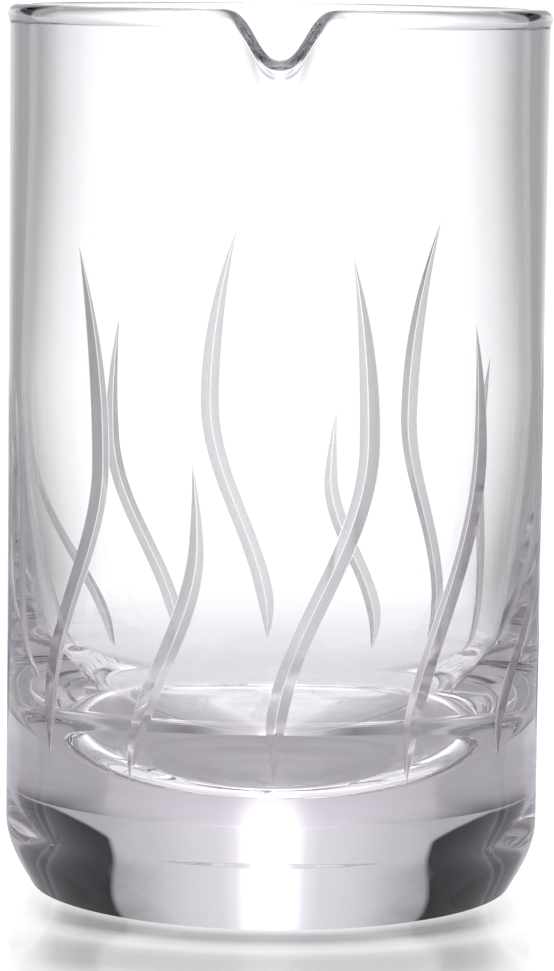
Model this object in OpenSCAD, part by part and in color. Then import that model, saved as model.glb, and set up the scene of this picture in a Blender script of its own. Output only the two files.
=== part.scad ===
// Stirring / mixing glass for the bar: a straight clear tumbler with a heavy
// solid foot, a fire-polished rim drawn out into one pouring lip, and wavy
// wheel-cut grooves rising round the wall.
//
// Frame: origin at the centre of the flat resting face, +Z up, pouring lip
// towards -Y, +X to the right for someone facing the lip.  Lengths are
// millimetres.  Azimuths are degrees from the lip, turning from -Y towards +X.
//
// The glass is hot-formed from three gathers of the same glass that fuse face
// to face: the foot, the wall and the rim band with the lip.

/* [Glass] */
// Outer diameter of the straight wall
outer_d = 94; // [86:1:104]
// Height of the rim crown above the table
glass_h = 154.5; // [150:0.5:164]
// Wall thickness at its thinnest, about 90 mm up
wall_t = 2.1; // [1.8:0.1:2.6]
// Wall thickness in the rim band
rim_t = 3.3; // [3.0:0.1:3.6]

/* [Foot] */
// Radius of the curve that draws the outside in towards the resting face
corner_r = 15.4; // [14:0.1:18]
// Height at which that curve starts
corner_h = 11.4; // [9:0.1:12]
// Radius of the polished edge round the resting face
edge_r = 0.8; // [0.4:0.1:1.5]
// Thickness of solid glass under the middle of the floor
floor_t = 18.4; // [17:0.1:20]
// Radius of the bowl between wall and floor
heel_r = 34.5; // [33:0.5:35.5]
// Radius of the long inside sweep from the wall into the bowl
sweep_r = 280; // [270:5:300]
// Height of the fusion face between foot and wall
foot_h = 40; // [36:0.5:41]

/* [Rim and lip] */
// Height of the fusion face between wall and rim band
band_z = 134; // [133:0.5:135]
// How far the rim bead stands proud of the wall on each side
bead_proud = 0.35; // [0.1:0.05:0.5]
// Height of the bead
bead_h = 3.4; // [3:0.1:4]
// How far the lip dips below the rim crown
lip_drop = 8.2; // [5:0.1:9]
// How far the lip is drawn outwards
lip_out = 6; // [4:0.1:8]
// Half width of the lip where its dip has fallen to 61 percent
lip_sigma = 3.6; // [3:0.1:5]

/* [Cut grooves] */
// Half width of a groove at its widest
cut_w = 1.85; // [1:0.05:2.2]
// Depth of a groove at its deepest
cut_d = 0.65; // [0.4:0.05:0.8]
// Length over which a groove runs out at its tip
tip_run = 30; // [15:1:40]
// Length over which a groove runs out at its foot
foot_run = 14; // [10:1:25]
// Stations along one groove
cut_steps = 18; // [12:1:26]

/* [Hidden] */
$fn = 180;

outer_r = outer_d / 2;
thin_r = outer_r - wall_t;  // inside radius where the wall is thinnest
band_r = outer_r - rim_t;   // inside radius of the rim band
thin_z = 90;                // height of the thinnest wall
glass_color = [0.90, 0.92, 0.94, 0.45];

function clamp01(t) = min(1, max(0, t));

// ---- cut grooves -------------------------------------------------------------
// Drawn freehand by the cutter, one row per groove:
// [azimuth of the foot, foot height, tip height, height of mid sway,
//  sway length, sideways sway in degrees, hook back at the tip in degrees]
cuts = [
    [0.5, 26.5, 114, 57.5, 51, 19, 4],
    [29, 25.5, 101.8, 54, 56, 18.5, 2],
    [55.5, 27, 97, 50, 40, 27.5, 3],
    [81, 27, 92, 54, 48, 15, 3],
    [110, 27, 91.7, 52, 46, 13, 3],
    [132, 26, 115.7, 56, 46, 15, 9],
    [152, 25.5, 79, 47, 36, 14.5, 1],
    [181.5, 27, 113, 56, 50, 14.2, 6],
    [206.5, 26, 97, 53, 43, 15.5, 2],
    [230, 26, 91, 57, 50, 34, 2],
    [256, 26, 92, 54, 50, 15, 3],
    [279, 27, 92, 56, 50, 9, 3],
    [306, 27, 114.3, 56, 44, 15.4, 6.4],
    [329.5, 25, 79.2, 45, 42, 14.5, 1]
];
cut_stand = 0.6;    // how far the cutting wedge stands out of the wall
cut_lift = 0.04;    // lifts the wedge, so that its ends clear the wall

// Smooth step from 0 to 1
function ease(t) = (1 - cos(180 * clamp01(t))) / 2;

// Azimuth of a groove at height z
function cut_azimuth(cut, z) =
    let (tip_z = cut[2], sway_len = cut[4],
         sway_start = cut[3] - sway_len / 2,
         sway_end = cut[3] + sway_len / 2,
         hook = z > sway_end ? cut[6] * pow((z - sway_end) / (tip_z - sway_end), 2) : 0)
    cut[0] + cut[5] * ease((z - sway_start) / sway_len) - hook;

// Share of full depth: 0 at both ends of a groove, 1 along its middle
function run_out(t) = let (u = clamp01(t)) u * (2 - u);
function cut_share(cut, z) =
    run_out((z - cut[1]) / foot_run) * run_out((cut[2] - z) / tip_run);

// One groove as a long triangular wedge, its sharp edge towards the axis
module groove(cut) {
    points = [for (i = [0:cut_steps])
        let (z = cut[1] + (cut[2] - cut[1]) * i / cut_steps,
             depth = cut_d * cut_share(cut, z) - cut_lift,
             half_w = (depth + cut_stand) * cut_w / cut_d,
             azimuth = cut_azimuth(cut, z),
             outward = [sin(azimuth), -cos(azimuth), 0],
             sideways = [cos(azimuth), sin(azimuth), 0],
             back = (outer_r + cut_stand) * outward + [0, 0, z])
        each [
            back - half_w * sideways,
            back + half_w * sideways,
            (outer_r - depth) * outward + [0, 0, z]
        ]];
    sides = [for (i = [0:cut_steps - 1], k = [0:2])
        let (a = 3 * i + k, b = 3 * i + (k + 1) % 3)
        each [[b + 3, b, a], [a + 3, b + 3, a]]];
    top = 3 * cut_steps;
    polyhedron(points, concat([[2, 1, 0]], [[top, top + 1, top + 2]], sides));
}

module grooves() {
    for (cut = cuts) groove(cut);
}

// ---- half sections, [radius, height] ------------------------------------------
// A small circle that touches a big one from inside: its centre and the
// point of contact
function inner_centre(big_c, big_r, small_r, small_z) =
    [big_c[0] + sqrt(pow(big_r - small_r, 2) - pow(big_c[1] - small_z, 2)), small_z];
function contact(big_c, big_r, small_c, small_r) =
    big_c + (small_c - big_c) * big_r / (big_r - small_r);

// inside: the long sweep runs into the bowl
sweep_c = [thin_r - sweep_r, thin_z];
heel_c = inner_centre(sweep_c, sweep_r, heel_r, floor_t + heel_r);
heel_top = contact(sweep_c, sweep_r, heel_c, heel_r);
sweep_steps = 16;

// outside: the corner curve runs into the small polished edge
corner_c = [outer_r - corner_r, corner_h];
edge_c = inner_centre(corner_c, corner_r, edge_r, edge_r);
edge_top = contact(corner_c, corner_r, edge_c, edge_r)[1];

lap = 1;            // overlap between parts of the cavity, and past its ends
floor_lap = 0.01;   // overlap of the flat floor part
inset = 2;          // keeps the foot of the sweep part inside the bowl

module cavity_section() {
    // flat floor and bowl
    translate([0, floor_t]) square([heel_c[0], heel_top[1] - floor_t + floor_lap]);
    intersection() {
        translate(heel_c) circle(heel_r, $fn = 240);
        translate([0, floor_t - lap]) square([outer_r, heel_top[1] - floor_t + lap]);
    }
    // long sweep, then the wall thickening evenly up to the rim band
    polygon(concat(
        [[0, heel_top[1] - lap], [heel_top[0] - inset, heel_top[1] - lap]],
        [for (i = [0:sweep_steps])
            let (z = heel_top[1] + (thin_z - heel_top[1]) * i / sweep_steps)
            [sweep_c[0] + sqrt(pow(sweep_r, 2) - pow(z - thin_z, 2)), z]],
        [[band_r, band_z], [0, band_z]]));
    translate([0, band_z]) square([band_r, lap]);
}

module foot_section() {
    union() {
        // resting face and its polished edge
        square([edge_c[0], edge_top]);
        intersection() {
            translate(edge_c) circle(edge_r, $fn = 96);
            square([outer_r, edge_top]);
        }
        // curve up to the upright wall
        intersection() {
            translate(corner_c) circle(corner_r, $fn = 360);
            translate([0, edge_top]) square([outer_r, corner_h - edge_top]);
        }
        square([corner_c[0], corner_h + lap]);
        translate([0, corner_h]) square([outer_r, foot_h - corner_h]);
    }
}

// Turns an outside section, then takes out the cavity and the grooves
module turned() {
    difference() {
        rotate_extrude($fn = 360) difference() {
            children();
            cavity_section();
        }
        grooves();
    }
}

// ---- foot: solid glass with the bottom of the bowl in it ----------------------
module base() {
    color(glass_color) turned() foot_section();
}

// ---- wall: straight tube, thinnest at thin_z ----------------------------------
module body() {
    color(glass_color) turned()
        translate([0, foot_h]) square([outer_r, band_z - foot_h]);
}

// ---- rim band: bead and pouring lip -------------------------------------------
dip_z = band_z + 0.5;   // the dip starts here
pull_z = band_z + 1;    // the outward pull starts here
dip_power = 2.4;        // above 2 gives the dip a flatter middle
pull_spread = 1.3;      // width of the pull over that of the dip

// Fall-off round the rim, 1 at the lip
function arc(azimuth) = azimuth * PI / 180 * outer_r;
function dip_round(azimuth) = exp(-pow(abs(arc(azimuth)) / lip_sigma, dip_power) / 2);
function pull_round(azimuth) = exp(-pow(arc(azimuth) / (lip_sigma * pull_spread), 2) / 2);

// Growth up the band, 1 at the crown
function dip_up(z) =
    let (t = clamp01((z - dip_z) / (glass_h - dip_z))) t * t * (3 - 2 * t);
function pull_up(z) = pow(clamp01((z - pull_z) / (glass_h - pull_z)), 2);

// Section point [radius, z] set at an azimuth and drawn into the lip
function drawn(radius, z, azimuth) =
    let (r = radius + lip_out * pull_round(azimuth) * pull_up(z))
    [r * sin(azimuth), -r * cos(azimuth), z - lip_drop * dip_round(azimuth) * dip_up(z)];

// Half section of the band: up the outside, over the bead, down the inside
bead_r = rim_t / 2 + bead_proud;
bead_c = [outer_r - rim_t / 2, glass_h - bead_r];
bead_start = -25;       // degrees above the outward horizontal
bead_sweep = 230;
bead_steps = 12;
side_steps = 9;
side_z = [for (i = [0:side_steps])
    band_z + (glass_h - bead_h - band_z) * i / side_steps];
band_section = concat(
    [for (z = side_z) [outer_r, z]],
    [for (i = [0:bead_steps])
        let (t = bead_start + bead_sweep * i / bead_steps)
        bead_c + bead_r * [cos(t), sin(t)]],
    [for (i = [side_steps:-1:0]) [band_r, side_z[i]]]);

// Azimuth stations: every degree at the lip, every 5 degrees elsewhere
lip_span = 20;
band_azimuths = concat(
    [for (i = [-lip_span:lip_span - 1]) i],
    [for (i = [0:63]) lip_span + 5 * i]);

module rim() {
    n = len(band_section);
    m = len(band_azimuths);
    points = [for (a = band_azimuths, p = band_section) drawn(p[0], p[1], a)];
    faces = [for (j = [0:m - 1], i = [0:n - 1])
        let (here = j * n, next = (j + 1) % m * n, i2 = (i + 1) % n)
        each [[next + i2, next + i, here + i], [here + i2, next + i2, here + i]]];
    color(glass_color) polyhedron(points, faces, convexity = 6);
}

base();
body();
rim();
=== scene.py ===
# Mixing glass: a clear round vessel with a solid foot, curved wheel-cut grooves
# and a pouring lip.  CAD frame: origin at the centre of the resting face, +Z up,
# lip towards -Y, where the camera stands.  Glass sizes are in mm, the scene is
# in metres.  Azimuths on the glass run from the lip (-Y) towards +X.
import bpy
import math
import numpy as np
from mathutils import Matrix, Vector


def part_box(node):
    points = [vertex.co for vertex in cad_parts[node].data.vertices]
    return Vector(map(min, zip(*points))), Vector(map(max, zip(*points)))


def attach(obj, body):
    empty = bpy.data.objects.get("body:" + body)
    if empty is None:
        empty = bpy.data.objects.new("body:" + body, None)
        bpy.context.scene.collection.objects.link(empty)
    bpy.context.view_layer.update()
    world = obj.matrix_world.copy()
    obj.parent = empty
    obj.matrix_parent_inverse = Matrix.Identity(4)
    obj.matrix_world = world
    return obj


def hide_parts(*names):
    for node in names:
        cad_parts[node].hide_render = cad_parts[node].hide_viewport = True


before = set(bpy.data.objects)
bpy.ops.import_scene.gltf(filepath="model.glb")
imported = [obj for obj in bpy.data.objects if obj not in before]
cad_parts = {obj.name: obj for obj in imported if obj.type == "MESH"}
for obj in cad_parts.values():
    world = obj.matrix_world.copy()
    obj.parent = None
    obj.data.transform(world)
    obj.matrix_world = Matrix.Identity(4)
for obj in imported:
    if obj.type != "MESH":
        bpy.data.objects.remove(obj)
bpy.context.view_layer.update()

MM = 0.001
DEG = 180 / math.pi

# ---------------------------------------------------------------------------
# sizes in mm
# ---------------------------------------------------------------------------
foot_low, foot_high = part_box("base")
_, wall_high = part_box("body")
rim_low, rim_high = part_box("rim")
R = (foot_high[0] - foot_low[0]) / 2 / MM    # outside radius of the wall
FOOT_H = foot_high[2] / MM                   # fusion face foot / wall
BAND_Z = wall_high[2] / MM                   # fusion face wall / rim band
GLASS_H = rim_high[2] / MM                   # crown of the rim
BEAD_PROUD = (rim_high[0] - rim_low[0]) / 2 / MM - R

WALL_T, RIM_T = 2.1, 3.3                     # thickness of the wall and the rim band
WALL_IN_R, RIM_IN_R = R - WALL_T, R - RIM_T
CORNER_H = 11.8                              # height of the curved corner of the foot
CORNER_LEAN = math.radians(31.5)             # its lean at the resting face
CORNER_STEPS = 60
EDGE_R, EDGE_STEPS = 0.12, 8                 # polished edge round the resting face

FLOOR_T = 18.4                               # thickness of the floor
HEEL_R, HEEL_STEPS = 34.5, 44                # arc from the floor up into the wall
SWEEP_R = 280.0                              # slow arc above the heel
SHOULDER_Z = 90.0                            # the wall thickens from here up
SHOULDER_FADE = 14.0                         # height over which its lean fades in and out
SHOULDER_SHADE = 0.15                        # share of its lean kept in the normals
BOWL_STEP = 0.4                              # row spacing of the sweep in the foot

BEAD_H = 3.4                                 # height of the rim bead
BEAD_START, BEAD_STEPS = -25, 28             # first angle of its section, degrees
BAND_STEP = 0.45                             # row spacing of the rim band
LIP_DROP, LIP_OUT, LIP_SIGMA = 8.2, 6.0, 3.6
LIP_HALF = 22                                # half angle of the fine columns, degrees
LIP_COLS, REST_COLS = 176, 316

CUT_W, CUT_D = 1.85, 0.65                    # half width and depth of a groove
TIP_RUN, FOOT_RUN = 30.0, 14.0               # run-out at its upper and lower end
CUT_EDGE, CUT_BOTTOM = 0.11, 0.12            # half widths of the strips at edge and bottom
CUT_LIMIT = 0.22                             # largest share of the half width they take
CUT_MIN_W = 0.14                             # half width kept where there is no groove
CUT_SEEN = 0.004                             # a groove fainter than this is plain wall
ROW_STEP = 0.7                               # row spacing of the grooved wall
# Grooves: azimuth of the lower end, lower z, upper z, middle z of the swing,
# height of the swing, degrees swung, degrees curled back above the swing
CUTS = [
    (0.5, 26.5, 114, 57.5, 51, 19, 4),
    (29, 25.5, 101.8, 54, 56, 18.5, 2),
    (55.5, 27, 97, 50, 40, 27.5, 3),
    (81, 27, 92, 54, 48, 15, 3),
    (110, 27, 91.7, 52, 46, 13, 3),
    (132, 26, 115.7, 56, 46, 15, 9),
    (152, 25.5, 79, 47, 36, 14.5, 1),
    (181.5, 27, 113, 56, 50, 14.2, 6),
    (206.5, 26, 97, 53, 43, 15.5, 2),
    (230, 26, 91, 57, 50, 34, 2),
    (256, 26, 92, 54, 50, 15, 3),
    (279, 27, 92, 56, 50, 9, 3),
    (306, 27, 114.3, 56, 44, 15.4, 6.4),
    (329.5, 25, 79.2, 45, 42, 14.5, 1),
]
CUT_COLS, FILL_COLS = 8, 26                  # columns of a groove and of the wall after it
PITCH_COLS = CUT_COLS + FILL_COLS
COLS = len(CUTS) * PITCH_COLS
FLANKS = ((1, 3), (4, 6))                    # first and last column of each groove side
FACETS = (1, 2, 4, 5)                        # column gaps that carry the ground surface

# material slots of the foot and the wall
CLEAR, GROUND, FUSED = 0, 1, 2

# ---------------------------------------------------------------------------
# inside of the vessel
# ---------------------------------------------------------------------------
SWEEP_C = (WALL_IN_R - SWEEP_R, SHOULDER_Z)
HEEL_Z = FLOOR_T + HEEL_R
HEEL_C = (SWEEP_C[0] + math.sqrt((SWEEP_R - HEEL_R) ** 2 - (SHOULDER_Z - HEEL_Z) ** 2), HEEL_Z)
# height at which heel and sweep touch
TOUCH_Z = SHOULDER_Z + (HEEL_Z - SHOULDER_Z) * SWEEP_R / (SWEEP_R - HEEL_R)
SHOULDER_LEAN = math.atan2(RIM_T - WALL_T, BAND_Z - SHOULDER_Z)


def inside(z):
    """(radius, normal r, normal z) of the inner wall at height z; the normal
    points out of the glass, into the hollow."""
    if z >= BAND_Z:
        return RIM_IN_R, -1.0, 0.0
    if z >= SHOULDER_Z:
        # the normals soften the lean so that it looks polished out
        radius = (WALL_IN_R
                  + (RIM_IN_R - WALL_IN_R) * (z - SHOULDER_Z) / (BAND_Z - SHOULDER_Z))
        fade = min(1.0, (z - SHOULDER_Z) / SHOULDER_FADE, (BAND_Z - z) / SHOULDER_FADE)
        lean = SHOULDER_SHADE * SHOULDER_LEAN * fade
        return radius, -math.cos(lean), -math.sin(lean)
    if z >= TOUCH_Z:
        radius = SWEEP_C[0] + math.sqrt(SWEEP_R ** 2 - (SHOULDER_Z - z) ** 2)
        return radius, -(radius - SWEEP_C[0]) / SWEEP_R, -(z - SHOULDER_Z) / SWEEP_R
    height = max(-HEEL_R, z - HEEL_C[1])
    radius = HEEL_C[0] + math.sqrt(max(0.0, HEEL_R ** 2 - height ** 2))
    return radius, -(radius - HEEL_C[0]) / HEEL_R, -(z - HEEL_C[1]) / HEEL_R


# ---------------------------------------------------------------------------
# wheel-cut grooves
# ---------------------------------------------------------------------------
def clamp01(t):
    return min(1.0, max(0.0, t))


def ease(t):
    return (1 - math.cos(math.pi * clamp01(t))) / 2


def run_out(t):
    t = clamp01(t)
    return t * (2 - t)


def cut_azimuth(cut, z):
    """Azimuth in degrees of a groove's centre line at height z."""
    start, low, high, middle, span, swing, curl = cut
    z = min(max(z, low), high)
    top = middle + span / 2
    azimuth = start + swing * ease((z - (middle - span / 2)) / span)
    if z > top:
        azimuth -= curl * ((z - top) / (high - top)) ** 2
    return azimuth


def cut_strength(cut, z):
    """Share of the full width and depth that a groove has at height z."""
    low, high = cut[1:3]
    return run_out((z - low) / FOOT_RUN) * run_out((high - z) / TIP_RUN)


def wall_row(z):
    """Columns of the outer wall at height z: azimuths in radians, radii."""
    azimuths, radii = [], []
    spans = []
    for cut in CUTS:
        strength = cut_strength(cut, z)
        width = max(CUT_MIN_W, CUT_W * strength)
        spans.append((cut_azimuth(cut, z), width, CUT_D * strength,
                      min(CUT_EDGE, CUT_LIMIT * width), min(CUT_BOTTOM, CUT_LIMIT * width)))
    for i, (centre, width, depth, edge, bottom) in enumerate(spans):
        # groove section, straight lines in the tangent plane of its centre
        for x in (-width - edge, -width + edge, -width / 2, -bottom,
                  bottom, width / 2, width - edge, width + edge):
            if abs(x) >= width:
                azimuths.append(centre / DEG + math.atan2(x, R))
                radii.append(R)
            else:
                # line from the edge of the groove down to its bottom
                y_edge = math.sqrt(R * R - width * width)
                y = y_edge + (R - depth - y_edge) * (1 - abs(x) / width)
                azimuths.append(centre / DEG + math.atan2(x, y))
                radii.append(math.hypot(x, y))
        end = azimuths[-1]
        following, next_width, _, next_edge, _ = spans[(i + 1) % len(spans)]
        start = following / DEG - math.atan2(next_width + next_edge, R)
        if i == len(spans) - 1:
            start += 2 * math.pi
        for j in range(1, FILL_COLS + 1):
            azimuths.append(end + (start - end) * j / (FILL_COLS + 1))
            radii.append(R)
    return azimuths, radii


# ---------------------------------------------------------------------------
# mesh building
# ---------------------------------------------------------------------------
class Shell:
    """Collects rows of points and faces with a normal for every face corner."""

    def __init__(self):
        self.points, self.faces, self.normals, self.slots = [], [], [], []

    def row(self, points):
        """Add points and return the index of the first."""
        first = len(self.points)
        self.points.extend(points)
        return first

    def ring(self, azimuths, radius, z):
        return self.row([polar(a, radius, z) for a in azimuths])

    def face(self, ids, normals, slot=0):
        self.faces.append(tuple(ids))
        self.normals.extend(normals)
        self.slots.append(slot)

    def build(self, name, materials):
        mesh = bpy.data.meshes.new(name)
        mesh.from_pydata([tuple(float(c) * MM for c in p) for p in self.points], [], self.faces)
        for material in materials:
            mesh.materials.append(material)
        mesh.polygons.foreach_set("material_index", self.slots)
        mesh.polygons.foreach_set("use_smooth", [True] * len(self.faces))
        normals = np.array(self.normals, dtype=float)
        normals /= np.linalg.norm(normals, axis=1)[:, None]
        mesh.update()
        mesh.normals_split_custom_set([tuple(normal) for normal in normals])
        return add_object(name, mesh)


def add_object(name, data):
    made = bpy.data.objects.new(name, data)
    bpy.context.scene.collection.objects.link(made)
    return made


def polar(azimuth, radial, z):
    """Point or vector from its radial and upward parts."""
    return (radial * math.sin(azimuth), -radial * math.cos(azimuth), z)


def spaced(start, end, step):
    count = max(1, int(round(abs(end - start) / step)))
    return [start + (end - start) * i / count for i in range(count + 1)]


def grooved_wall(shell, heights):
    """Outer wall with grooves.  Returns the first vertex and the azimuths of
    every row."""
    starts, azimuth_rows = [], []
    points = np.zeros((len(heights), COLS, 3))
    strength = np.zeros((len(heights), len(CUTS)))
    for row, z in enumerate(heights):
        azimuths, radii = wall_row(z)
        azimuth_rows.append(azimuths)
        for col in range(COLS):
            points[row, col] = polar(azimuths[col], radii[col], z)
        strength[row] = [cut_strength(cut, z) for cut in CUTS]
        starts.append(shell.row([tuple(p) for p in points[row]]))
    radial = np.stack([points[:, :, 0], points[:, :, 1], np.zeros(points.shape[:2])], axis=2)
    radial /= np.linalg.norm(radial, axis=2)[:, :, None]
    # each side of a groove is shaded flat across and smooth along
    shaded = radial.copy()
    for first_col in range(0, COLS, PITCH_COLS):
        for first, last in FLANKS:
            side_a, side_b = points[:, first_col + first], points[:, first_col + last]
            along = np.gradient((side_a + side_b) / 2, axis=0)
            normal = np.cross(side_b - side_a, along)
            normal /= np.linalg.norm(normal, axis=1)[:, None]
            normal *= np.sign((normal * radial[:, first_col + 3]).sum(axis=1))[:, None]
            shaded[:, first_col + first:first_col + last + 1] = normal[:, None]
    for row in range(len(heights) - 1):
        for col in range(COLS):
            after = (col + 1) % COLS
            groove, place = divmod(col, PITCH_COLS)
            is_cut = strength[row, groove] > CUT_SEEN or strength[row + 1, groove] > CUT_SEEN
            normals = shaded if is_cut else radial
            corners = ((row, col), (row, after), (row + 1, after), (row + 1, col))
            shell.face([starts[r] + c for r, c in corners],
                       [normals[corner] for corner in corners],
                       GROUND if is_cut and place in FACETS else CLEAR)
    return starts, azimuth_rows


def ring_strip(shell, ring_a, ring_b, az_a, az_b, normal_a, normal_b, slot=CLEAR, flip=False):
    """Quads between two rings of equal column count with normals (r, z)."""
    count = len(az_a)
    for j in range(count):
        k = (j + 1) % count
        ids = (ring_a + j, ring_a + k, ring_b + k, ring_b + j)
        normals = (polar(az_a[j], *normal_a), polar(az_a[k], *normal_a),
                   polar(az_b[k], *normal_b), polar(az_b[j], *normal_b))
        if flip:
            ids, normals = ids[::-1], normals[::-1]
        shell.face(ids, normals, slot)


def strip_profile(shell, ring, azimuths, normal, profile, flip=False):
    """Strips from a ring through profile rows (r, z, normal r, normal z).
    Returns the last ring."""
    for radius, z, normal_r, normal_z in profile:
        new_ring = shell.ring(azimuths, radius, z)
        new_normal = (normal_r, normal_z)
        ring_strip(shell, ring, new_ring, azimuths, azimuths, normal, new_normal, flip=flip)
        ring, normal = new_ring, new_normal
    return ring


def fan(shell, ring, z, upward):
    """Close a ring with triangles to a point on the axis."""
    centre = shell.row([(0, 0, z)])
    normal = (0, 0, 1 if upward else -1)
    for j in range(COLS):
        k = (j + 1) % COLS
        ids = (ring + j, ring + k, centre) if upward else (ring + k, ring + j, centre)
        shell.face(ids, (normal,) * 3)


# ---------------------------------------------------------------------------
# shader nodes
# ---------------------------------------------------------------------------
HALF_TURN = 1 / 180.0            # ramp position of one degree of azimuth
QUARTER_TURN = 1 / 90.0          # ramp position of one degree of elevation


class Nodes:
    """Adds nodes to an emptied node tree.  An input is a value or a socket."""

    def __init__(self, tree):
        self.tree = tree
        tree.nodes.clear()

    def add(self, kind, inputs=None, **settings):
        node = self.tree.nodes.new("ShaderNode" + kind)
        for name, value in settings.items():
            setattr(node, name, value)
        for key, value in (inputs or {}).items():
            if isinstance(value, bpy.types.NodeSocket):
                self.tree.links.new(value, node.inputs[key])
            else:
                node.inputs[key].default_value = value
        return node

    def calc(self, operation, *values):
        return self.add("Math", dict(enumerate(values)), operation=operation).outputs[0]

    def vector(self, operation, *values):
        return self.add("VectorMath", dict(enumerate(values)), operation=operation)

    def split(self, vector):
        return self.add("SeparateXYZ", {0: vector}).outputs

    def mix(self, factor, a, b, blend="MIX"):
        """Colour mix."""
        return self.add("Mix", {"Factor": factor, "A": a, "B": b},
                        data_type="RGBA", blend_type=blend).outputs["Result"]

    def multiply(self, a, b):
        """Product of two colours."""
        return self.mix(1.0, a, b, blend="MULTIPLY")

    def mix_shader(self, factor, a, b):
        return self.add("MixShader", {0: factor, 1: a, 2: b}).outputs[0]

    def ramp(self, value, stops, unit=1.0):
        """Piecewise linear grey curve; stops are (place in units, grey)."""
        node = self.add("ValToRGB", {0: value})
        elements = node.color_ramp.elements
        while len(elements) > 1:
            elements.remove(elements[-1])
        elements[0].position = stops[0][0] * unit
        elements[0].color = (stops[0][1],) * 3 + (1,)
        for place, grey in stops[1:]:
            elements.new(place * unit).color = (grey,) * 3 + (1,)
        return node.outputs[0]

    def azimuth_ramp(self, value, stops):
        return self.ramp(value, stops, HALF_TURN)

    def elevation_ramp(self, value, stops):
        return self.ramp(value, stops, QUARTER_TURN)

    def noise(self, vector, scale, detail):
        return self.add("TexNoise", {"Scale": scale, "Detail": detail,
                                     "Vector": vector}).outputs["Fac"]

    def bump(self, height, strength, distance):
        return self.add("Bump", {"Strength": strength, "Distance": distance,
                                 "Height": height}).outputs["Normal"]

    def map_range(self, value, **limits):
        """Map range; limits are named from_min, from_max, to_min, to_max."""
        inputs = {name.replace("_", " ").title(): limit for name, limit in limits.items()}
        return self.add("MapRange", {"Value": value, **inputs}).outputs["Result"]


def new_material(name, surface):
    """Material whose shader is made by surface(nodes)."""
    material = bpy.data.materials.new(name)
    material.use_nodes = True
    nodes = Nodes(material.node_tree)
    nodes.add("OutputMaterial", {"Surface": surface(nodes)})
    return material


# ---------------------------------------------------------------------------
# glass materials
# ---------------------------------------------------------------------------
GLASS_IOR = 1.5
ABSORB = (0.75, 0.95, 0.60)      # absorption of the melt, per metre: a faint lilac grey
GROUND_TINT = (1.0, 0.99, 1.0, 1)
SATIN_SHARE = 0.30               # share of light a ground facet scatters
HAZE_TINT = (0.90, 0.86, 0.91, 1)
HAZE_SHARE = 0.65                # densest haze on the lip


def melt_colour(nodes):
    """Colour left after the light's last straight run inside the glass."""
    ray = nodes.add("LightPath")
    geometry = nodes.add("NewGeometry")
    length = nodes.calc("MULTIPLY", ray.outputs["Ray Length"], geometry.outputs["Backfacing"])
    channels = {i: nodes.calc("EXPONENT", nodes.calc("MULTIPLY", length, -absorb))
                for i, absorb in enumerate(ABSORB)}
    return nodes.add("CombineColor", channels).outputs[0]


def glass_bsdf(nodes, colour, normal, roughness):
    return nodes.add("BsdfGlass", {"IOR": GLASS_IOR, "Color": colour, "Normal": normal,
                                   "Roughness": roughness}, distribution="GGX").outputs["BSDF"]


def clear_glass(nodes):
    """Clear polished glass: slow waviness and a very faint handling haze."""
    place = nodes.add("TexCoord").outputs["Object"]
    waves = nodes.noise(place, scale=38, detail=1.5)
    haze = nodes.noise(place, scale=160, detail=4)
    return glass_bsdf(
        nodes, melt_colour(nodes),
        normal=nodes.bump(waves, strength=1.0, distance=0.005 * MM),
        roughness=nodes.map_range(haze, from_min=0.60, from_max=0.85, to_min=0.0, to_max=0.012))


def lip_glass(nodes):
    """Clear glass whose drawn lip is mottled and slightly milky on top."""
    clear = clear_glass(nodes)
    place = nodes.add("TexCoord").outputs["Object"]
    x, y, _ = nodes.split(place)
    facing_up = nodes.split(nodes.add("NewGeometry").outputs["Normal"])["Z"]
    mottle = nodes.noise(place, scale=420, detail=3)
    # only near the middle of the lip, far out to the front, on upward faces
    haze = nodes.calc(
        "MULTIPLY",
        nodes.map_range(nodes.calc("ABSOLUTE", x), from_min=0.0125, from_max=0.008),
        nodes.map_range(y, from_min=-0.03, from_max=-0.04))
    haze = nodes.calc("MULTIPLY", haze, nodes.map_range(facing_up, from_min=0.05, from_max=0.35))
    haze = nodes.calc("MULTIPLY", haze, nodes.map_range(mottle, from_min=0.30, from_max=0.62))
    haze = nodes.calc("MULTIPLY", haze, HAZE_SHARE)
    milk = nodes.add("BsdfDiffuse", {"Color": HAZE_TINT}).outputs[0]
    return nodes.mix_shader(haze, clear, milk)


def ground_glass(nodes):
    """Wheel-cut facet: satin surface with fine lines from the wheel, part of
    the light scattered to both sides."""
    stretched = nodes.add("Mapping", {"Scale": (1, 1, 9),
                                      "Vector": nodes.add("TexCoord").outputs["Object"]})
    lines = nodes.noise(stretched.outputs["Vector"], scale=420, detail=3)
    clear = glass_bsdf(
        nodes, GROUND_TINT,
        normal=nodes.bump(lines, strength=0.6, distance=0.012 * MM),
        roughness=nodes.map_range(lines, to_min=0.08, to_max=0.17))
    scatter = nodes.mix_shader(0.5, nodes.add("BsdfDiffuse", {"Color": GROUND_TINT}).outputs[0],
                               nodes.add("BsdfTranslucent", {"Color": GROUND_TINT}).outputs[0])
    return nodes.mix_shader(SATIN_SHARE, clear, scatter)


def fused_face(nodes):
    """Face between two gathers: the same glass on both sides, so light goes
    straight through."""
    return nodes.add("BsdfTransparent").outputs["BSDF"]


foot_glass = new_material("foot_glass", clear_glass)
wall_glass = new_material("wall_glass", clear_glass)
rim_glass = new_material("rim_glass", lip_glass)
cut_glass = new_material("cut_facet_glass", ground_glass)
fusion = new_material("fusion_face", fused_face)


# ---------------------------------------------------------------------------
# foot
# ---------------------------------------------------------------------------
def corner_lean(z):
    """Lean of the foot's corner: gained quickly at first, then almost straight."""
    return math.asin(math.sin(CORNER_LEAN) * (1 - (z / CORNER_H) ** 2))


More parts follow.
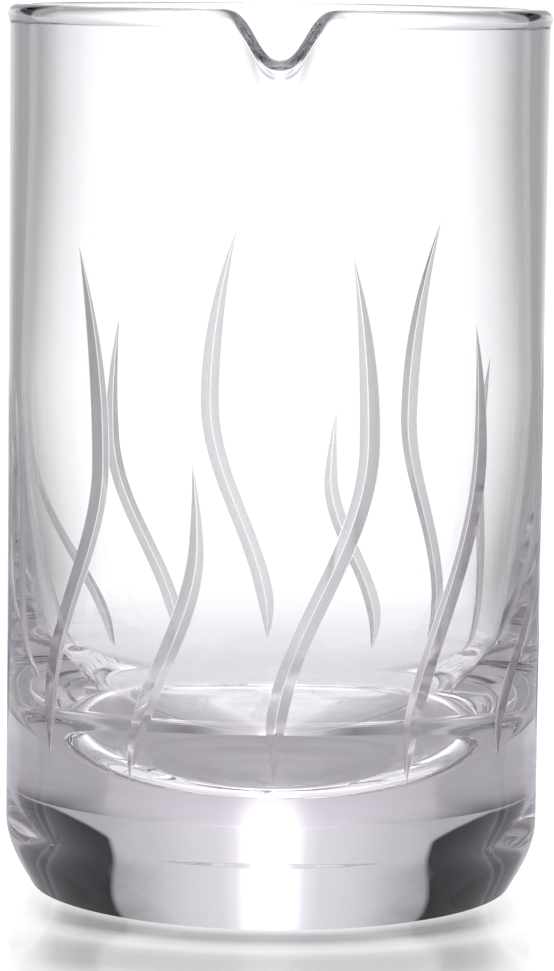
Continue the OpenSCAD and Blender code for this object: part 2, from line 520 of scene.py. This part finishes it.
def corner_profile():
    """Outside of the foot below the grooved wall, down to the resting face."""
    profile = []
    low = EDGE_R * (1 - math.sin(CORNER_LEAN))
    radius, z = R, CORNER_H
    for i in range(1, CORNER_STEPS + 1):
        lower = CORNER_H - (CORNER_H - low) * i / CORNER_STEPS
        radius -= (z - lower) * math.tan(corner_lean((z + lower) / 2))
        z = lower
        lean = corner_lean(z)
        profile.append((radius, z, math.cos(lean), -math.sin(lean)))
    start = corner_lean(low)
    edge_x = radius - EDGE_R * math.cos(start)
    for i in range(1, EDGE_STEPS + 1):
        t = start + (math.pi / 2 - start) * i / EDGE_STEPS
        profile.append((edge_x + EDGE_R * math.cos(t), EDGE_R - EDGE_R * math.sin(t),
                        math.cos(t), -math.sin(t)))
    return profile


def bowl_profile():
    """Inside of the foot below the fusion face."""
    profile = []
    if FOOT_H > TOUCH_Z:
        for z in spaced(FOOT_H, TOUCH_Z, BOWL_STEP)[1:]:
            radius, normal_r, normal_z = inside(z)
            profile.append((radius, z, normal_r, normal_z))
    heel_top = min(TOUCH_Z, FOOT_H)
    start = math.atan2(heel_top - HEEL_C[1], inside(heel_top)[0] - HEEL_C[0])
    for i in range(1, HEEL_STEPS + 1):
        t = start + (-math.pi / 2 - start) * i / HEEL_STEPS
        profile.append((HEEL_C[0] + HEEL_R * math.cos(t), HEEL_C[1] + HEEL_R * math.sin(t),
                        -math.cos(t), -math.sin(t)))
    return profile


def build_foot():
    shell = Shell()
    starts, azimuth_rows = grooved_wall(shell, spaced(CORNER_H, FOOT_H, ROW_STEP))
    low_az, top_az = azimuth_rows[0], azimuth_rows[-1]
    ring = strip_profile(shell, starts[0], low_az, (1.0, 0.0), corner_profile(), flip=True)
    fan(shell, ring, 0, upward=False)
    radius, normal_r, normal_z = inside(FOOT_H)
    ring = shell.ring(top_az, radius, FOOT_H)
    ring_strip(shell, starts[-1], ring, top_az, top_az, (0.0, 1.0), (0.0, 1.0), slot=FUSED)
    ring = strip_profile(shell, ring, top_az, (normal_r, normal_z), bowl_profile())
    fan(shell, ring, FLOOR_T, upward=True)
    return shell.build("glass_foot", [foot_glass, cut_glass, fusion])


# ---------------------------------------------------------------------------
# wall
# ---------------------------------------------------------------------------
def build_wall():
    shell = Shell()
    heights = spaced(FOOT_H, BAND_Z, ROW_STEP)
    starts, azimuth_rows = grooved_wall(shell, heights)
    rings, normals = [], []
    for z, azimuths in zip(heights, azimuth_rows):
        # a hair lower, so that the top row still belongs to the shoulder
        radius, normal_r, normal_z = inside(z - 1e-6)
        rings.append(shell.ring(azimuths, radius, z))
        normals.append((normal_r, normal_z))
    for i in range(len(heights) - 1):
        ring_strip(shell, rings[i], rings[i + 1], azimuth_rows[i], azimuth_rows[i + 1],
                   normals[i], normals[i + 1], flip=True)
    for end, normal in ((0, (0, -1)), (-1, (0, 1))):
        ring_strip(shell, starts[end], rings[end], azimuth_rows[end], azimuth_rows[end],
                   normal, normal, slot=FUSED, flip=end == 0)
    return shell.build("glass_wall", [wall_glass, cut_glass, fusion])


# ---------------------------------------------------------------------------
# rim band with the pouring lip
# ---------------------------------------------------------------------------
def lip(r, z, azimuth):
    """Points of the rim after the lip has been pulled out and down."""
    across = np.abs(azimuth * R / LIP_SIGMA)
    bell = np.exp(-across ** 2.4 / 2)
    wide_bell = np.exp(-(across / 1.3) ** 2 / 2)
    t = np.clip((z - BAND_Z - 0.5) / (GLASS_H - BAND_Z - 0.5), 0, 1)
    down = t * t * (3 - 2 * t)
    out = np.clip((z - BAND_Z - 1) / (GLASS_H - BAND_Z - 1), 0, 1) ** 2.0
    pulled = r + LIP_OUT * wide_bell * out
    return np.stack([pulled * np.sin(azimuth), -pulled * np.cos(azimuth),
                     z - LIP_DROP * bell * down], axis=-1)


def rim_section():
    """Rows (r, z, normal r, normal z): up the outside, over the bead and down
    the inside."""
    bead_r = RIM_T / 2 + BEAD_PROUD
    bead_x, bead_z = R - RIM_T / 2, GLASS_H - bead_r
    band_top = GLASS_H - BEAD_H
    section = [(R, z, 1.0, 0.0) for z in spaced(BAND_Z, band_top, BAND_STEP)]
    for i in range(BEAD_STEPS + 1):
        t = math.radians(BEAD_START + (180 - 2 * BEAD_START) * i / BEAD_STEPS)
        section.append((bead_x + bead_r * math.cos(t), bead_z + bead_r * math.sin(t),
                        math.cos(t), math.sin(t)))
    section += [(RIM_IN_R, z, -1.0, 0.0) for z in spaced(band_top, BAND_Z, BAND_STEP)]
    return np.array(section)


def build_rim():
    section = rim_section()
    azimuths = np.array(
        [math.radians(-LIP_HALF + 2 * LIP_HALF * i / LIP_COLS) for i in range(LIP_COLS)]
        + [math.radians(LIP_HALF + (360 - 2 * LIP_HALF) * i / REST_COLS)
           for i in range(REST_COLS)])
    r, az = np.meshgrid(section[:, 0], azimuths)
    z, normal_r, normal_z = (np.meshgrid(section[:, i], azimuths)[0] for i in (1, 2, 3))
    points = lip(r, z, az)
    # normals from tangents of the plain skin, pushed through the lip by differences
    h = 1e-3
    step_r, step_z = h * -normal_z, h * normal_r
    along = (lip(r + step_r, z + step_z, az) - lip(r - step_r, z - step_z, az)) / (2 * h)
    around = (lip(r, z, az + h / R) - lip(r, z, az - h / R)) / (2 * h)
    normals = np.cross(around, along)
    normals /= np.linalg.norm(normals, axis=2)[:, :, None]
    shell = Shell()
    for column in points:
        shell.row([tuple(p) for p in column])
    cols, rows = len(azimuths), len(section)
    for j in range(cols):
        k = (j + 1) % cols
        for i in range(rows - 1):
            corners = ((j, i), (k, i), (k, i + 1), (j, i + 1))
            shell.face([c * rows + s for c, s in corners], [normals[c] for c in corners])
        # fusion face
        shell.face((j * rows + rows - 1, k * rows + rows - 1, k * rows, j * rows),
                   ((0, 0, -1),) * 4, 1)
    return shell.build("glass_rim", [rim_glass, fusion])


foot = build_foot()
wall = build_wall()
rim = build_rim()
for piece, node, slot in ((foot, "base", "foot_glass"), (wall, "body", "wall_glass"),
                          (rim, "rim", "rim_glass")):
    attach(piece, "root")
    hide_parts(node)


# ---------------------------------------------------------------------------
# stage: pale glossy table, bright field behind, dark flags either side
# ---------------------------------------------------------------------------
# Here azimuth is the angle from straight behind the glass (+Y), the same to
# both sides.  Azimuth curves are (degrees, grey).
# the white sweep seen low down through the glass
FAR = [(0, 1.20), (6, 1.18), (8.5, 1.08), (11, 0.94), (14, 0.84), (20, 0.78), (27, 0.74),
       (36, 0.68), (45, 0.62), (56, 0.55), (62, 0.22), (67, 0.12), (73, 0.55), (110, 0.50),
       (180, 0.32)]
# share of the plain white surround, for a look through the glass from the
# sides or the back
OPEN = [(70, 0.0), (86, 1.0), (180, 1.0)]
# dim sides of the white sweep
DIM = [(0, 1.0), (2.5, 1.0), (3.4, 0.98), (5, 0.965), (6.8, 0.95), (8.2, 0.93), (10.5, 0.89),
       (12.5, 0.80), (15, 0.68), (18, 0.50), (27, 0.46), (33, 0.55), (45, 0.60), (180, 0.60)]

# transmission depth above which a ray has crossed one wall / the whole vessel
ONE_WALL, WHOLE_VESSEL = 1.5, 2.5

# Table curves over the distance from the axis, in metres: painted shade of the glass on the
# table, darker close to the foot
NEAR_BY_DISTANCE = [(0.0, 0.40), (0.043, 0.40), (0.048, 0.48), (0.092, 0.54), (0.107, 0.64),
                    (0.13, 0.67)]
FAR_BY_DISTANCE = [(0.0, 0.70), (0.043, 0.70), (0.048, 0.66), (0.066, 0.68), (0.091, 0.74),
                   (0.110, 0.83), (0.144, 0.94), (0.255, 0.96), (0.5, 0.98), (0.8, 1.0)]
CONTACT_SHADE = [(0.0, 0.5), (0.0425, 0.95), (0.0455, 0.52), (0.049, 0.41), (0.0515, 0.46),
                 (0.0545, 0.80), (0.0575, 1.02), (0.062, 0.74), (0.067, 0.63), (0.075, 0.68),
                 (0.083, 1.06)]
CONTACT_SIDES = [(0.034, 0.0), (0.041, 1.0)]     # over |x|: where the shade ends
TABLE_OPEN = (1.28, 1.28, 1.28, 1)               # tone beside the contact shade
NEAR_TINT, FAR_TINT, PLAIN_TINT = (1.01, 0.965, 1.04), (1.0, 0.985, 1.015), (1.0, 1.0, 1.0)
# Table curves over the height at which the ray left the glass, in metres
DIM_BY_HEIGHT = [(0.028, 0.0), (0.045, 1.0)]
FAR_BY_HEIGHT = [(0.016, 0.0), (0.024, 1.0)]
THIN_WALL_HEIGHT = 0.045
LEAVING_R = 0.047                                # radius at which rays leave the glass
NEAR_ROUGH, PLAIN_ROUGH = 0.18, 0.06             # gloss of the acrylic
TABLE_HALF, TABLE_Z = 6.0, -0.00002              # the table lies a hair below the foot


def painted_glow(nodes, colour, tint, roughness):
    """Table face: a soft glow standing in for light, carrying painted shade and painted
    reflection, under a glossy skin.
    """
    glow = nodes.add("Emission", {"Color": nodes.multiply(colour, (*tint, 1))})
    gloss = nodes.add("BsdfGlossy", {"Color": (1, 0.99, 1, 1), "Roughness": roughness})
    fresnel = nodes.add("Fresnel", {"IOR": 1.47})
    return nodes.mix_shader(fresnel.outputs[0], glow.outputs[0], gloss.outputs[0])


def table_surface(nodes):
    geometry = nodes.add("NewGeometry").outputs
    ray = nodes.add("LightPath").outputs

    def flat_length(vector):
        flat = nodes.vector("MULTIPLY", vector, (1, 1, 0))
        return nodes.vector("LENGTH", flat.outputs[0]).outputs["Value"]

    def deeper_than(depth):
        return nodes.calc("GREATER_THAN", ray["Transmission Depth"], depth)

    distance = flat_length(geometry["Position"])
    # azimuth in which the ray that meets the table is travelling
    back_x, back_y, back_z = nodes.split(geometry["Incoming"])
    angle = nodes.calc("ARCTAN2", nodes.calc("MULTIPLY", back_x, -1.0),
                       nodes.calc("MULTIPLY", back_y, -1.0))
    azimuth = nodes.calc("DIVIDE", nodes.calc("ABSOLUTE", angle), math.pi)
    # height at which the ray left the glass
    rise = nodes.calc("MULTIPLY", nodes.calc("SUBTRACT", distance, LEAVING_R), back_z)
    height = nodes.calc("DIVIDE", rise,
                        nodes.calc("MAXIMUM", flat_length(geometry["Incoming"]), 1e-3))

    # through the glass the table glows with painted light: near the foot a painted shade by
    # distance, further out a painted reflection of the lit sweep by the azimuth in which the ray
    # travels, times that painted shade
    near = painted_glow(nodes, nodes.ramp(distance, NEAR_BY_DISTANCE), NEAR_TINT, NEAR_ROUGH)
    white = nodes.multiply(nodes.azimuth_ramp(azimuth, FAR),
                           nodes.ramp(distance, FAR_BY_DISTANCE))
    # dim sides of the sweep's painted reflection, seen only where the ray left the thin wall
    dim = nodes.mix(nodes.ramp(height, DIM_BY_HEIGHT), (1, 1, 1, 1),
                    nodes.azimuth_ramp(azimuth, DIM))
    far_colour = nodes.multiply(nodes.multiply(white, dim), (*FAR_TINT, 1))
    far = nodes.add("Emission", {"Color": far_colour}).outputs[0]
    # far through the whole vessel (four faces), near only through the solid foot (two)
    through_glass = nodes.mix_shader(
        nodes.calc("MAXIMUM", nodes.ramp(height, FAR_BY_HEIGHT), deeper_than(WHOLE_VESSEL)),
        near, far)

    # straight to the camera: painted contact shadow round the resting face, with a lighter
    # painted ring in it
    x = nodes.split(geometry["Position"])["X"]
    tone = nodes.mix(nodes.ramp(nodes.calc("ABSOLUTE", x), CONTACT_SIDES),
                     nodes.ramp(distance, CONTACT_SHADE), TABLE_OPEN)
    plain = painted_glow(nodes, tone, PLAIN_TINT, PLAIN_ROUGH)
    thin_wall = nodes.calc("MULTIPLY", deeper_than(ONE_WALL),
                           nodes.calc("GREATER_THAN", height, THIN_WALL_HEIGHT))
    plain_through = nodes.calc(
        "MULTIPLY", nodes.azimuth_ramp(azimuth, OPEN),
        nodes.calc("MAXIMUM", deeper_than(WHOLE_VESSEL), thin_wall))
    return nodes.mix_shader(nodes.calc("MAXIMUM", ray["Is Camera Ray"], plain_through),
                            through_glass, plain)


def build_table():
    mesh = bpy.data.meshes.new("table")
    s = TABLE_HALF
    mesh.from_pydata([(-s, -s, 0), (s, -s, 0), (s, s, 0), (-s, s, 0)], [], [(0, 1, 2, 3)])
    table = add_object("table", mesh)
    mesh.materials.append(new_material("table_white", table_surface))
    table.location.z = TABLE_Z


build_table()

# ---------------------------------------------------------------------------
# world
# ---------------------------------------------------------------------------
# the lit strip straight behind, white falling off to grey on both sides
STRIP_MIDDLE = [(0, 1.9), (2.3, 1.75), (3.6, 1.25), (4.9, 0.92), (7, 0.77), (9.5, 0.735),
                (12.2, 0.69)]
STRIP_SIDES = [(60, 0.40), (70, 0.58), (95, 0.36), (180, 0.15)]
STRIP = STRIP_MIDDLE + [(15, 0.62), (17.9, 0.49), (21.2, 0.385), (25.5, 0.27),
                        (40, 0.42)] + STRIP_SIDES
# close to the table the sides stay lighter
STRIP_LOW = STRIP_MIDDLE + [(15, 0.63), (17.9, 0.575), (21.2, 0.54), (24.6, 0.49),
                            (28.5, 0.44)] + STRIP_SIDES
STRIP_RISE = [(8, 0.0), (14, 1.0)]               # over elevation: low strip to high strip
# black flags either side of the backdrop, with fold lines in the cloth
FLAGS = [(25, 0.0), (31, 0.0), (37, 0.008), (42, 0.028), (44.5, 0.06), (45.5, 0.13),
         (46.5, 0.03), (49, 0.04), (50, 0.14), (51.5, 0.05), (56, 0.08), (61, 0.13), (65, 0.40)]
# lower edge of the flags: azimuth, elevation, both in degrees
FLAG_EDGE = [(25.0, 6.3), (26.5, 5.8), (28, 5.0), (31, 3.6), (37, 1.4), (42, 0.3)]
FLAG_SOFT = 1.2                                  # softness of that edge, degrees
FLAG_WIDTH = [(25.7, 0.0), (26.4, 1.0), (62, 1.0), (67, 0.0)]
FLAG_TOP = [(43, 1.0), (49, 0.0)]                # over elevation
FLAG_FADE_THROUGH = 0.75                         # faded through the whole vessel
FLAG_FADE_MIRRORED = 0.85                        # faded after repeated mirroring
MIRRORED_OFTEN = 2.5                             # glossy depth
SOFTBOX_RISE = [(0.0, 0.0), (42, 0.0), (50, 1.0)]   # over elevation
SOFTBOX = [(0, 1.9), (2.5, 1.7), (4, 1.2), (7, 1.0), (24, 0.95), (30, 0.6), (70, 0.35),
           (180, 0.25)]
HORIZON_LIFT = 0.16                              # through the whole vessel, in ray z
STEEP_DOWN = -0.1                                # ray z of a look down through one wall
STUDIO_CAST = (1.0, 0.975, 1.03, 1)              # faint lilac
PLAIN_SHARE = 0.9                                # plain surround seen through the glass


def faded(nodes, mask, where, amount):
    """Mask weakened by an amount where another mask is set."""
    return nodes.calc("MULTIPLY", mask,
                      nodes.calc("SUBTRACT", 1.0, nodes.calc("MULTIPLY", where, amount)))


def studio_surround(nodes):
    ray = nodes.add("LightPath").outputs
    x, y, z = nodes.split(nodes.add("TexCoord").outputs["Generated"])
    angle = nodes.calc("ARCTAN2", x, y)
    azimuth = nodes.calc("DIVIDE", nodes.calc("ABSOLUTE", angle), math.pi)
    elevation = nodes.calc("DIVIDE", nodes.calc("ARCSINE", z), math.pi / 2)
    through = nodes.calc("GREATER_THAN", ray["Transmission Depth"], WHOLE_VESSEL)

    strip = nodes.mix(nodes.elevation_ramp(elevation, STRIP_RISE),
                      nodes.azimuth_ramp(azimuth, STRIP_LOW), nodes.azimuth_ramp(azimuth, STRIP))

    edge = nodes.azimuth_ramp(azimuth, [(place, up * QUARTER_TURN) for place, up in FLAG_EDGE])
    above = nodes.calc("MULTIPLY", nodes.calc("SUBTRACT", elevation, edge), 90 / FLAG_SOFT)
    above = nodes.add("Clamp", {"Value": above}).outputs[0]
    mask = nodes.calc("MULTIPLY", above, nodes.azimuth_ramp(azimuth, FLAG_WIDTH))
    mask = nodes.calc("MULTIPLY", mask, nodes.elevation_ramp(elevation, FLAG_TOP))
    mask = faded(nodes, mask, through, FLAG_FADE_THROUGH)
    often = nodes.calc("GREATER_THAN", ray["Glossy Depth"], MIRRORED_OFTEN)
    mask = faded(nodes, mask, often, FLAG_FADE_MIRRORED)
    studio = nodes.mix(mask, strip, nodes.azimuth_ramp(azimuth, FLAGS))

    overhead = nodes.calc("MULTIPLY", nodes.elevation_ramp(elevation, SOFTBOX_RISE),
                          nodes.calc("SUBTRACT", 1.0, mask))
    studio = nodes.mix(overhead, studio, nodes.azimuth_ramp(azimuth, SOFTBOX))

    # below the horizon the table runs out into the white sweep
    # (a little higher for what is seen through the whole vessel)
    lowered = nodes.calc("SUBTRACT", z, nodes.calc("MULTIPLY", through, HORIZON_LIFT))
    below = nodes.map_range(lowered, from_min=-0.006, from_max=0.004, to_min=1.0, to_max=0.0)
    sweep = nodes.multiply(nodes.azimuth_ramp(azimuth, FAR), nodes.azimuth_ramp(azimuth, DIM))
    studio = nodes.multiply(nodes.mix(below, studio, sweep), STUDIO_CAST)
    lit = nodes.add("Background", {"Color": studio, "Strength": 1.0}).outputs[0]

    # what the camera sees directly is plain white
    plain = nodes.add("Background", {"Color": (1, 1, 1, 1), "Strength": 1.05}).outputs[0]
    one_wall = nodes.calc(
        "MULTIPLY", nodes.calc("GREATER_THAN", ray["Transmission Depth"], ONE_WALL),
        nodes.calc("LESS_THAN", z, STEEP_DOWN))
    seen = nodes.calc("MULTIPLY", nodes.calc("MAXIMUM", through, one_wall), PLAIN_SHARE)
    plain_through = nodes.calc("MULTIPLY", nodes.azimuth_ramp(azimuth, OPEN), seen)
    return nodes.mix_shader(nodes.calc("MAXIMUM", ray["Is Camera Ray"], plain_through),
                            lit, plain)


scene = bpy.context.scene
world = bpy.data.worlds.new("studio")
scene.world = world
world.use_nodes = True
world_nodes = Nodes(world.node_tree)
world_nodes.add("OutputWorld", {0: studio_surround(world_nodes)})

# ---------------------------------------------------------------------------
# overhead light
# ---------------------------------------------------------------------------
softbox = bpy.data.lights.new("overhead_softbox", "AREA")
softbox.shape = "RECTANGLE"
softbox.size, softbox.size_y = 1.6, 1.2
softbox.energy = 4
add_object("overhead_softbox", softbox).location = (0, 0.25, 1.6)

# ---------------------------------------------------------------------------
# camera: in front of the lip, looking slightly down
# ---------------------------------------------------------------------------
PITCH, ROLL, YAW = math.radians(6.93), math.radians(0.70), math.radians(0.028)
lens = bpy.data.cameras.new("cam")
lens.sensor_fit = "AUTO"
lens.sensor_width = 36
lens.lens = 164.205973
lens.clip_start, lens.clip_end = 0.01, 50
camera = add_object("cam", lens)
camera.location = (0, -0.775, 0.1646)
turn = (Matrix.Rotation(-YAW, 4, "Z") @ Matrix.Rotation(math.pi / 2 - PITCH, 4, "X")
        @ Matrix.Rotation(ROLL, 4, "Z"))
camera.rotation_euler = turn.to_euler()
scene.camera = camera

# ---------------------------------------------------------------------------
# render settings: many bounces, for light caught inside the glass
# ---------------------------------------------------------------------------
scene.view_settings.view_transform = "Standard"
scene.view_settings.look = "None"
scene.cycles.max_bounces = 40
scene.cycles.transmission_bounces = 40
scene.cycles.glossy_bounces = 24
scene.cycles.transparent_max_bounces = 64
scene.cycles.diffuse_bounces = 4
scene.cycles.blur_glossy = 0.0
